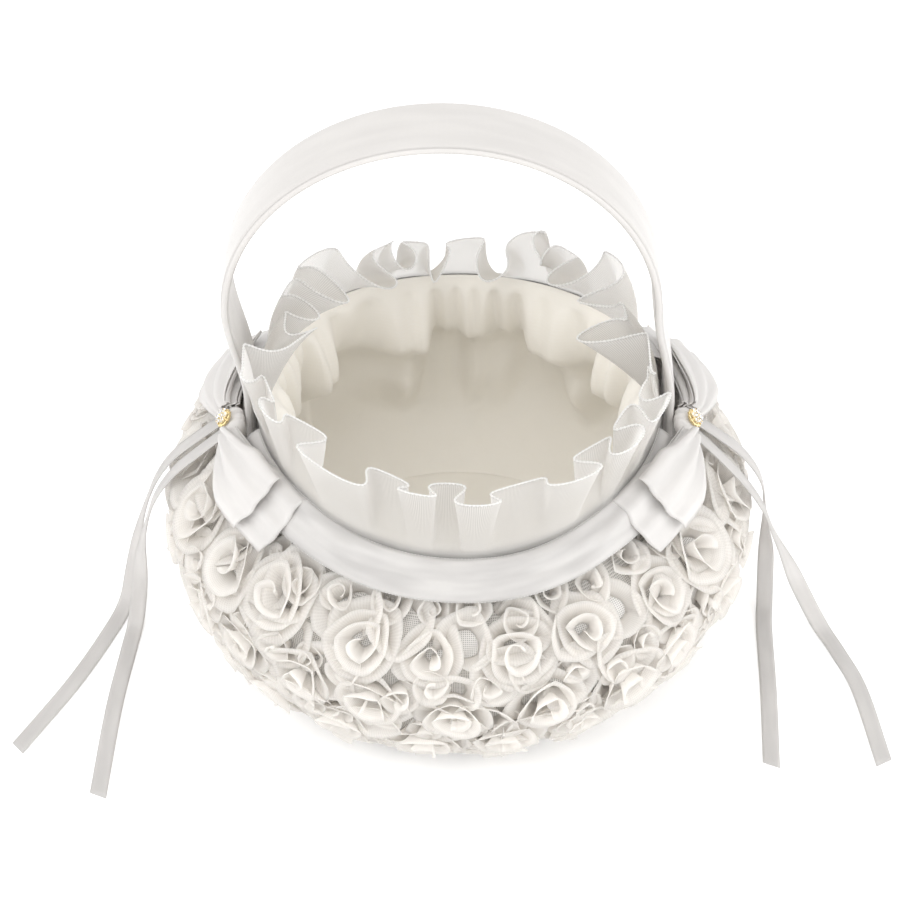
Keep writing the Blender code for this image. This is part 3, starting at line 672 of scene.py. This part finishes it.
def rose_strip(rng, scale, first_turn, turns):
    """A ribbon sewn down along one edge in a spiral, standing in the middle and leaning out more
    and more, with a folded tip between one petal and the next. Its points hold distances to the
    right, up the wall and out of it."""
    end = (first_turn + turns) * 2 * math.pi
    angle = np.linspace(first_turn * 2 * math.pi, end, int(turns * TURN_STEPS))
    share = angle / (ROSE_TURNS * 2 * math.pi)
    tips = [-rng.uniform(0.5, 1.2)]
    while tips[-1] < end:
        tips.append(tips[-1] + rng.uniform(1.5, 2.6))
    tips = np.array(tips)
    petal = np.searchsorted(tips, angle, side="right") - 1
    in_petal = 2 * (angle - tips[petal]) / (tips[petal + 1] - tips[petal]) - 1
    tip = np.abs(in_petal) ** 2.5
    lean_more = np.interp(angle, tips, rng.uniform(-0.14, 0.14, len(tips)))
    taller = np.interp(angle, tips, rng.uniform(0.86, 1.10, len(tips)))
    base = (0.0008 + 0.0092 * share) * scale * (1 + 0.16 * tip)
    tilt = np.radians(9 + 58 * share**0.85) + lean_more + 0.20 * tip * smooth(share * 4)
    width = RIBBON_WIDTH * scale * taller * (1 + 0.10 * tip * share)
    width *= 1 - 0.45 * smooth((angle - end + 0.8) / 0.8)
    width *= 1 - 0.45 * smooth((angle[0] - angle + 0.8) / 0.8) * (first_turn > 0)
    across = np.linspace(0, 1, 6)
    middles = (across[1:] + across[:-1]) / 2
    lean = tilt[:, None] * (0.55 + 0.90 * middles[None, :] ** 1.5)
    step = width[:, None] / (len(across) - 1)
    out = np.concatenate([np.zeros((len(angle), 1)), np.cumsum(np.sin(lean) * step, 1)], 1)
    high = np.concatenate([np.zeros((len(angle), 1)), np.cumsum(np.cos(lean) * step, 1)], 1)
    flutter = 0.0004 * scale * np.sin(angle * 5.3 + rng.uniform(0, 6)) * share
    out = out + flutter[:, None] * across**2
    radius = base[:, None] + out
    spin = rng.uniform(0, 2 * math.pi)
    oval = rng.uniform(0.84, 1.0)
    x = radius * np.cos(angle[:, None] + spin)
    y = radius * np.sin(angle[:, None] + spin) * oval
    turn = rng.uniform(0, math.pi)
    right = x * math.cos(turn) - y * math.sin(turn)
    up = x * math.sin(turn) + y * math.cos(turn)
    points = np.stack([right, up, high], -1)
    return points, grid_uv(len(angle), len(across), 0.006 * (end - angle[0]), RIBBON_WIDTH)


def lay_on_wall(azimuth, slope, tilt, flat):
    """Lays a pattern on the tulle at this place, tipped down the wall by tilt."""
    radius = np.interp(slope, ALONG, OUTLINE[:, 0])
    right, up, out = flat[..., 0], flat[..., 1] - tilt * flat[..., 2], flat[..., 2]
    points = on_wall(azimuth + right / radius, slope - up, out - ROSE_DEPTH)
    points[..., 2] = np.maximum(points[..., 2], TABLE_CLEARANCE)
    return points


def add_rosettes(materials):
    """Rows of rosettes all round, with buds and loose curls of the same ribbon sewn in between and
    under the band."""
    rng = np.random.default_rng(11)
    for kind, rows, scale, first_turn, turns, spread in (
        ("rosettes", ROSE_ROWS, 1.0, 0.0, ROSE_TURNS, 0.0030),
        ("buds", BUD_ROWS, 0.74, 0.0, 1.9, 0.0040),
        ("curls", CURL_ROWS, 0.95, 1.5, 0.9, 0.0050),
    ):
        for number, (slope, count) in enumerate(rows, 1):
            shift = rng.uniform(0, 2 * math.pi)
            grids = []
            for i in range(count):
                azimuth = shift + 2 * math.pi * (i + rng.uniform(-0.16, 0.16)) / count
                place = slope + rng.uniform(-spread, spread)
                strip, uv = rose_strip(rng, scale * rng.uniform(0.88, 1.10),
                                       first_turn + rng.uniform(0, 0.5) * (first_turn > 0),
                                       turns * rng.uniform(0.90, 1.0))
                tilt = rng.uniform(-0.20, 0.40)
                grids.append((lay_on_wall(azimuth, place, tilt, strip), uv))
            name = f"{kind}_row_{number}"
            nodes = ["rosette_cover"] if name == "rosettes_row_1" else []
            add_grids(name, grids, materials["chiffon"], "rose_ribbon",
                      thickness=THICKNESS["rose_ribbon"], nodes=nodes)


# The rim: band, ruffle and lining.


def add_bands(materials):
    """Satin ribbon laid round the shoulder in two lengths, slightly crowned, with an overcast
    edge above and below."""
    rng = np.random.default_rng(3)
    columns, rows = 15, 150
    for name, middle in (("rim_band_front", 0.0), ("rim_band_back", math.pi)):
        azimuth = middle + np.linspace(-BAND_REACH, BAND_REACH, rows)[:, None]
        across = np.linspace(0, 1, columns)[None, :]
        slope = mix(BAND_START, BAND_WIDTH, across) + 0.0004 * waves(azimuth, rng, (3, 5, 8))
        puckers = waves(azimuth + 0.5 * across, rng, (9, 14, 23)) * np.sin(math.pi * across)
        creases = np.sin(2.6 * math.pi * across + 1.4 * waves(azimuth, rng, (2, 5, 9)))
        creases = creases * np.sin(math.pi * across)
        lift = BAND_LIFT + 0.0010 * np.sin(math.pi * across) ** 0.7
        lift = lift + 0.00030 * puckers + 0.00050 * creases
        grid = on_wall(azimuth, slope, lift)
        length = length_of(grid[:, columns // 2])
        uv = grid_uv(rows, columns, length, BAND_WIDTH)
        piece = add_grids(f"{name}_ribbon", [(grid, uv)], materials["band_satin_painted_shade"], "satin",
                          thickness=THICKNESS["band"], nodes=[name])
        edges = [stitch_grid(grid[:, i], *BAND_STITCHES) for i in (0, -1)]
        stitches = add_grids(f"{name}_edge_stitches", edges, materials["thread"], "thread")


def leg_face(side, height):
    """How far out the inner face of a handle's leg is at this height, with room to tilt."""
    lean = SIDE_LEAN * smooth((height + side * LEG_SWING - LEAN_START) / LEAN_RISE)
    return HALF_SPAN - HANDLE_THICKNESS / 2 + side * lean - LEG_CLEARANCE


def ruffle_grid(rows, columns):
    """The gathered strip round the mouth. It starts under the band's edge and leans in over the
    mouth at the sides and the back. Its pleats differ in width and depth, bulge over each other
    at the free edge, and are pressed flat by the handle's legs."""
    rng = np.random.default_rng(23)
    turn = np.linspace(0, 2 * math.pi, columns)[None, :]
    share = np.linspace(0, 1, rows)[:, None]
    phase = RUFFLE_PLEATS * turn + 1.35 * waves(turn, rng, (2, 3, 5, 7))
    deep = 1 + 0.25 * waves(turn, rng, (4, 7, 9))
    open_up = 0.02 + 1.03 * np.maximum(share - 0.07, 0.0) ** 0.75
    swing = np.sin(phase + 0.4 * share * waves(turn, rng, (5, 6)))
    swing = swing + 0.15 * np.sin(2 * phase + 2.0 * waves(turn, rng, (3, 4)))
    overlap = np.sin(2 * phase + 0.4 * waves(turn, rng, (3, 4)))
    from_front = math.pi - np.abs(math.pi - turn)
    to_side = smooth((from_front - math.radians(66)) / math.radians(24))
    to_back = smooth((from_front - math.radians(125)) / math.radians(35))
    lean = mix(mix(*RUFFLE_LEANS[:2], to_side), RUFFLE_LEANS[2], to_back)
    broad = 0.85 - 2 * ((1 - swing) / 2) ** 2
    swing = mix(swing, broad, to_side)
    lean = lean + math.radians(4) * waves(turn, rng, (3, 8, 13)) * (0.35 + 0.65 * to_side)
    long = RUFFLE_HEIGHT * (1 + 0.03 * waves(turn, rng, (3, 6, 11))) * mix(0.92, 1.0, to_side)
    bend = lean * (0.6 + 0.8 * share)
    inward, rise = long * share * np.sin(bend), long * share * np.cos(bend)
    tucked = RUFFLE_FLARE * (1 - smooth(share / 0.10))
    depth = mix(*PLEAT_DEPTHS, to_side) * deep * open_up
    radius = RUFFLE_RADIUS + tucked - inward + depth * swing
    azimuth = turn - PLEAT_OVERLAP * overlap * open_up * deep
    points = turned(azimuth, radius, RUFFLE_BASE + rise + 0.0015 * share * swing)
    side = np.where(points[..., 0] > 0, 1.0, -1.0)
    limit = leg_face(side, points[..., 2]) - 0.0007 * share * (1 - swing)
    held = side * np.minimum(np.abs(points[..., 0]), limit)
    free = smooth((np.abs(points[..., 1]) - LEG_PRESS) / LEG_PRESS_FADE)
    points[..., 0] = mix(held, points[..., 0], free)
    return points


def add_ruffle(materials):
    rows, columns = 16, 1141
    grid = ruffle_grid(rows, columns)
    length = (length_of(grid[-1]) + length_of(grid[rows // 2])) / 2
    uv = grid_uv(rows, columns, RUFFLE_HEIGHT, length)
    piece = add_grids("ruffle_cloth", [(grid, uv)], materials["organza"], "organza", weld=True,
                      thickness=THICKNESS["ruffle"], nodes=["ruffle"])
    edge = stitch_grid(grid[-1], *RUFFLE_STITCHES)
    stitches = add_grids("ruffle_edge_stitches", [edge], materials["thread"], "organza", weld=True)


def lining_grid(rows, columns):
    """The lining from over the rim's wire down to the floor. It is gathered at the rim and hangs
    inside the belly like a curtain of deep soft folds, each tucked back to the wall at its own
    height."""
    rng = np.random.default_rng(5)
    turn = np.linspace(0, 2 * math.pi, columns)[None, :]
    share = np.linspace(0, 1, rows)[:, None]
    wall = on_wall(turn, mix(*LINING_SLOPES, share), -LINING_DEPTH)
    neck = [turned(turn, radius, height) for radius, height in LINING_NECK]
    wall = mix(neck[-1], wall, smooth(share / 0.10)[..., None])
    phase = 13 * turn + 1.9 * waves(turn, rng, (2, 3, 5))
    swell = 0.5 + 0.5 * np.sin(phase + 2.4 * share * waves(turn, rng, (2, 5)))
    swell = 0.8 * swell + 0.2 * (0.5 + 0.5 * np.sin(2.3 * phase - 3 * share))
    sizes = 1 + 0.30 * waves(turn, rng, (3, 5, 8))
    ends = 0.62 + 0.10 * waves(turn, rng, (4, 7, 9)) + 0.10 * swell
    hanging = smooth(share / 0.11) * (1 - smooth((share - ends + 0.24) / 0.30))
    inward = (CURTAIN_DEPTH + FOLD_DEPTH * swell * sizes) * hanging
    inward = inward + NECK_ROLL * (1 - smooth(share / 0.25))
    gathers = 0.0014 * np.sin(3 * phase + 4 * share)
    gathers = gathers * smooth(share / 0.03) * (1 - smooth(share / 0.5))
    flat = np.stack([wall[..., 0], wall[..., 1], 0 * wall[..., 2]], -1)
    hung = wall - unit(flat) * (inward + gathers)[..., None]
    return np.concatenate([*neck[:-1], hung])


def add_lining(materials):
    rows, columns = 60, 433
    grid = lining_grid(rows, columns)
    length = length_of(grid[:, 0])
    uv = grid_uv(len(grid), columns, length, 2 * math.pi * BELLY_RADIUS)
    piece = add_grids("lining_cloth", [(grid, uv)], materials["lining"], "lining_satin", weld=True,
                      thickness=THICKNESS["lining"], nodes=["lining_wall"])

    floor_height = float(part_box("lining_floor")[1][2])
    edge = on_wall(0.0, FLOOR_MEETS, 0.0005 - LINING_DEPTH)
    share = np.linspace(0, 1, 28)[:, None]
    turn = np.linspace(0, 2 * math.pi, 145)[None, :]
    rng = np.random.default_rng(8)
    ripple = 0.0004 * np.sin(19 * share) * waves(turn, rng, (3, 5))
    height = floor_height + 0.0016 * (1 - share**4) + ripple * (1 - share)
    height = mix(height, edge[2], smooth((share - 0.84) / 0.16))
    radius = -edge[1] * share
    add_grids("lining_floor_cloth", [disc_grid(radius, turn, height)], materials["lining"],
              "lining_satin", weld=True, thickness=THICKNESS["lining_floor"],
              nodes=["lining_floor"])


# The handle.


def handle_line():
    """The middle of the strip from the left foot over the arch to the right foot."""
    top = HANDLE_TOP - HANDLE_THICKNESS / 2
    leg = np.linspace(HANDLE_FOOT, HANDLE_SPRING, 22)[:-1]
    arch = np.linspace(math.pi, 0, 73)
    x = np.concatenate([0 * leg - HALF_SPAN, HALF_SPAN * np.cos(arch), 0 * leg + HALF_SPAN])
    z = np.concatenate([leg, HANDLE_SPRING + (top - HANDLE_SPRING) * np.sin(arch), leg[::-1]])
    x = x + SIDE_LEAN * smooth((z - LEAN_START) / LEAN_RISE)
    return np.stack([x, 0 * x, z], -1)


def add_handle(materials):
    """A strip wound in satin: rounded edges, slightly crowned faces, and a fold along each edge
    where the sleeve was turned in."""
    line = handle_line()
    along = directions(line)
    out = np.stack([-along[:, 2], 0 * along[:, 0], along[:, 0]], -1)
    half_width, half_thick = HANDLE_WIDTH / 2, HANDLE_THICKNESS / 2
    face = np.linspace(-1, 1, 17) * (half_width - half_thick)
    groove = 0.00022 * np.exp(-(((np.abs(face) - 0.0093) / 0.0005) ** 2))
    crown = half_thick * (0.90 + 0.10 * np.cos(face / half_width * math.pi / 2)) - groove
    bend = np.linspace(math.pi / 2, -math.pi / 2, 7)[1:-1]
    side_y = half_width - half_thick + half_thick * np.cos(bend)
    side_t = 0.92 * half_thick * np.sin(bend)
    ring_y = np.concatenate([face, side_y, face[::-1], -side_y, face[:1]])
    ring_t = np.concatenate([crown, side_t, -crown[::-1], -side_t[::-1], crown[:1]])
    grid = (line[:, None] + np.array((0.0, 1.0, 0.0)) * ring_y[None, :, None]
            + out[:, None] * ring_t[None, :, None])
    start = np.repeat(line[:1, None], len(ring_y), axis=1)
    finish = np.repeat(line[-1:, None], len(ring_y), axis=1)
    grid = np.concatenate([start, grid, finish])
    uv = grid_uv(len(grid), len(ring_y), length_of(line), 2 * HANDLE_WIDTH)
    add_grids("handle_satin_painted_shade", [(grid, uv)], materials["handle_satin_painted_shade"], "satin", weld=True,
              body=HANDLE_BODY, nodes=["handle_sleeve"])


# The bows and their ornaments.


def knot_frame(side):
    """The middle of the knot, and the directions out of the shoulder, along the rim to the back
    and down the slope there."""
    centre = on_wall(KNOT_AZIMUTH, KNOT_SLOPE, KNOT_HEIGHT)
    out = unit(on_wall(KNOT_AZIMUTH, KNOT_SLOPE, 2 * KNOT_HEIGHT) - centre)
    down = unit(on_wall(KNOT_AZIMUTH, KNOT_SLOPE + 0.004, KNOT_HEIGHT)
                - on_wall(KNOT_AZIMUTH, KNOT_SLOPE - 0.004, KNOT_HEIGHT))
    mirror = np.array((side, 1.0, 1.0))
    return [vector * mirror for vector in (centre, out, np.cross(down, out), down)]


def on_bow(side, points):
    """Moves points given as distances out of the shoulder, along the rim and down the slope from
    the middle of the knot."""
    centre, out, rim, down = knot_frame(side)
    return centre + points[..., :1] * out + points[..., 1:2] * rim + points[..., 2:3] * down


def loop_frames(values, share):
    """The middle, the direction across and the direction out of one bow loop at each share of its
    length. It leaves the knot on edge and lies down along the shoulder."""
    start_x, along_rim, azimuths, slope, lift = values
    azimuth = np.radians(mix(azimuths[0], azimuths[1], share))
    settle = smooth(share / 0.4)[:, None]
    fullness = np.sin(math.pi * np.minimum(share / 0.9, 1.0))
    half_thick = mix(*LOOP_HALF_THICKNESSES, fullness)
    level = lift + half_thick
    surface = on_wall(azimuth, slope, level)
    knot = knot_frame(1)[0]
    start = np.array((start_x, knot[1] + along_rim, knot[2] + LOOP_START_RISE))
    centre = mix(start, surface, settle)
    down = unit(on_wall(azimuth, slope + 0.004, level) - on_wall(azimuth, slope - 0.004, level))
    across = unit(mix(np.array((0.0, 0.0, -1.0)), down, settle))
    outward = unit(on_wall(azimuth, slope, level + 0.004) - surface)
    out = mix(np.array((1.0, 0.0, 0.0)), outward, settle)
    out = unit(out - (out * across).sum(-1, keepdims=True) * across)
    return centre, across, out, half_thick


def loop_grid(rng, values, side):
    """A ribbon that runs out over the loop, turns at its tip and comes back under it, its two
    layers nearly together along the edges. Pleats fan out from the knot, and the lower corner of
    the tip hangs back."""
    share = np.linspace(0, 1, 26)
    centre, across, out, half_thick = loop_frames(values, share)
    half_width = mix(*LOOP_HALF_WIDTHS, smooth((share - 0.05) / 0.55))
    along = directions(centre)
    w = np.linspace(-1, 1, 17)[None, :]
    lag = -0.0022 * (w + 1) * share[:, None] ** 2 + 0.0006 * np.sin(4 * w + 1) * share[:, None]
    fold = np.cos(2.6 * math.pi * w + rng.uniform(0, 6))
    fold = np.sign(fold) * np.abs(fold) ** 0.7
    pleat = 0.0011 * fold * (1 - 0.35 * share[:, None])
    bow = 0.0012 * w * w * (0.3 + 0.7 * share[:, None])
    pinch = 1 - LOOP_EDGE_PINCH * w**4
    rows = []
    for face, order in ((1, slice(None)), (-1, slice(None, None, -1))):
        off = face * half_thick[:, None] * pinch + 0.8 * pleat - bow
        layer = (centre[:, None] + across[:, None] * (w * half_width[:, None])[..., None]
                 + out[:, None] * off[..., None] + along[:, None] * lag[..., None])
        rows.append(layer[order])
        if face == 1:
            for turn in np.radians((60, 30, 0, -30, -60)):
                tip_off = half_thick[-1] * math.sin(turn) * pinch[0] + (0.8 * pleat - bow)[-1]
                reach = half_thick[-1] * math.cos(turn) * pinch[0] + lag[-1]
                tip = (centre[-1] + across[-1] * (w[0] * half_width[-1])[:, None]
                       + out[-1] * tip_off[:, None] + along[-1] * reach[:, None])
                rows.append(tip[None])
    grid = np.concatenate(rows)
    beside_leg = 1 - smooth((np.abs(grid[..., 1]) - 0.0175) / 0.0035)
    beside_leg = beside_leg * smooth((grid[..., 2] - 0.090) / 0.003)
    grid[..., 0] = side * mix(grid[..., 0], np.maximum(grid[..., 0], LEG_OUTSIDE), beside_leg)
    return grid


def add_bows(materials):
    """Satin loops two by two on each side, and the knot over them."""
    rng = np.random.default_rng(31)
    for label, side in (("left", -1), ("right", 1)):
        for where, values in BOW_LOOPS.items():
            node = f"bow_{label}_{where}"
            grid = loop_grid(rng, values, side)
            length = length_of(grid[:, 8])
            uv = grid_uv(*grid.shape[:2], length, 2 * LOOP_HALF_WIDTHS[1])
            piece = add_grids(f"{node}_ribbon", [(grid, uv)], materials["bow_satin"], "satin",
                              thickness=THICKNESS["bow"], nodes=[node])
        add_knot(label, side, materials)


def add_knot(label, side, materials):
    """A turn of ribbon round the middle of the bow, creased lengthwise."""
    share = np.linspace(-1, 1, 25)[:, None]
    turn = np.linspace(0, 2 * math.pi, 41)[None, :]
    belly = np.maximum(1 - np.abs(share) ** 3, 0.0) ** (1 / 2.2)
    crease = 1 + 0.06 * np.cos(4.2 * math.pi * share + 0.6 * np.sin(turn))
    points = np.stack([KNOT_RADII[0] * belly * crease * np.cos(turn),
                       KNOT_RADII[1] * share + 0 * turn,
                       KNOT_RADII[2] * belly * crease * np.sin(turn)], -1)
    uv = grid_uv(25, 41, 2 * KNOT_RADII[1], 2 * math.pi * KNOT_RADII[2])
    name = f"bow_{label}_knot"
    add_grids(f"{name}_ribbon", [(on_bow(side, points), uv)], materials["bow_satin"], "satin",
              weld=True, nodes=[name])


def add_ornaments(materials):
    """A scalloped gold-tone setting with claws, and seven cut stones in it."""
    turn = np.linspace(0, 2 * math.pi, 73)
    scallop = 1 + 0.06 * np.cos(12 * turn)
    back = KNOT_RADII[0] + GAP
    profile = ((0.0, 0.0, 0), (0.85, 0.0, 0), (0.97, 0.25, 1), (0.97, 0.7, 1),
               (0.86, 1.0, 1), (0.78, 0.75, 0), (0.0, 0.70, 0))
    rings = []
    for share, depth, scalloped in profile:
        reach = SETTING_RADIUS * share * (scallop if scalloped else 1)
        rings.append(np.stack([0 * turn + back + SETTING_THICKNESS * depth,
                               reach * np.cos(turn), reach * np.sin(turn)], -1))
    grids = [(np.stack(rings), grid_uv(len(rings), 73, SETTING_RADIUS, 0.02))]
    for claw in (np.arange(STONE_COUNT) + 0.5) * 2 * math.pi / STONE_COUNT:
        centre = np.array((back + SETTING_THICKNESS, 0.82 * SETTING_RADIUS * math.cos(claw),
                           0.82 * SETTING_RADIUS * math.sin(claw)))
        grids.append(ball_grid(centre, 0.00042))

    level = back + SETTING_THICKNESS + GAP
    places = [(0.0, 0.0)]
    for angle in np.arange(STONE_COUNT) * 2 * math.pi / STONE_COUNT:
        places.append((STONE_RING_RADIUS * math.cos(angle), STONE_RING_RADIUS * math.sin(angle)))
    for label, side in (("left", -1), ("right", 1)):
        node = f"ornament_{label}_setting"
        placed = [(on_bow(side, points), uv) for points, uv in grids]
        add_grids(f"{node}_metal", placed, materials["gold"], "gold_tone", weld=True, nodes=[node])
        for i, (along_rim, down) in enumerate(places):
            add_stone(f"rhinestone_{label}_{i}", side, (level, along_rim, down), materials)


def ball_grid(centre, radius):
    polar = np.linspace(0, math.pi, 9)[:, None]
    turn = np.linspace(0, 2 * math.pi, 13)[None, :]
    points = np.stack(np.broadcast_arrays(np.sin(polar) * np.cos(turn),
                                          np.sin(polar) * np.sin(turn), np.cos(polar)), -1)
    return centre + radius * points, grid_uv(9, 13, radius, radius)


def add_stone(node, side, place, materials):
    """A stone with a flat table, a crown of facets and a pointed back."""
    bm = bmesh.new()

    def ring(count, share, level, offset):
        angles = (np.arange(count) + offset) * 2 * math.pi / count
        points = np.stack([0 * angles + STONE_HEIGHT * level, STONE_RADIUS * share * np.cos(angles),
                           STONE_RADIUS * share * np.sin(angles)], -1)
        return [bm.verts.new(point) for point in on_bow(side, points + np.array(place))]

    table, crown, girdle = ring(8, 0.50, 1.0, 0.5), ring(8, 0.82, 0.8, 0.0), ring(16, 1.0, 0.55, 0)
    point = ring(1, 0.0, 0.0, 0)[0]
    bm.faces.new(table)
    for i in range(8):
        j = (i + 1) % 8
        bm.faces.new((table[i], crown[i], crown[j]))
        bm.faces.new((table[i], crown[j], table[j]))
        bm.faces.new((crown[i], girdle[2 * i], girdle[2 * i + 1]))
        bm.faces.new((crown[i], girdle[2 * i + 1], crown[j]))
        bm.faces.new((crown[j], girdle[2 * i + 1], girdle[2 * j]))
    for i in range(16):
        bm.faces.new((girdle[i], girdle[(i + 1) % 16], point))
    bm.normal_update()
    bmesh.ops.recalc_face_normals(bm, faces=bm.faces)
    mesh = bpy.data.meshes.new(f"{node}_mesh")
    bm.to_mesh(mesh)
    bm.free()
    add_piece(f"{node}_cut", mesh, materials["crystal"], "crystal", nodes=[node])


def add_base(materials):
    """The satin disc under the basket, with its edge turned over."""
    low, high = (np.array(corner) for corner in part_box("base_cover"))
    radius, thick = high[1], high[2] - low[2]
    turn = np.linspace(0, 2 * math.pi, 145)[None, :]
    share, level = BASE_PROFILE.T[..., None]
    reach = radius * share * (1 + 0.002 * np.sin(40 * turn) * (share > 0.9))
    add_grids("base_cover_cloth", [disc_grid(reach, turn, low[2] + thick * level)],
              materials["bow_satin"], "satin", weld=True, nodes=["base_cover"])


def finish_cad_nodes(materials):
    """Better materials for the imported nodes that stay."""
    for node, name in (
        ("inner_bowl", "plastic"), ("handle_core", "plastic"), ("base_board", "board"),
        ("rim_wire", "wire"), ("handle_tack_left", "thread"), ("handle_tack_right", "thread"),
    ):
        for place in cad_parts[node].material_slots:
            place.material = materials[name]


def main():
    materials = make_materials()
    add_camera()
    add_studio()
    add_streamers(materials)
    add_ground(materials)
    add_rosettes(materials)
    add_bands(materials)
    add_ruffle(materials)
    add_lining(materials)
    add_handle(materials)
    add_bows(materials)
    add_ornaments(materials)
    add_base(materials)
    finish_cad_nodes(materials)


main()
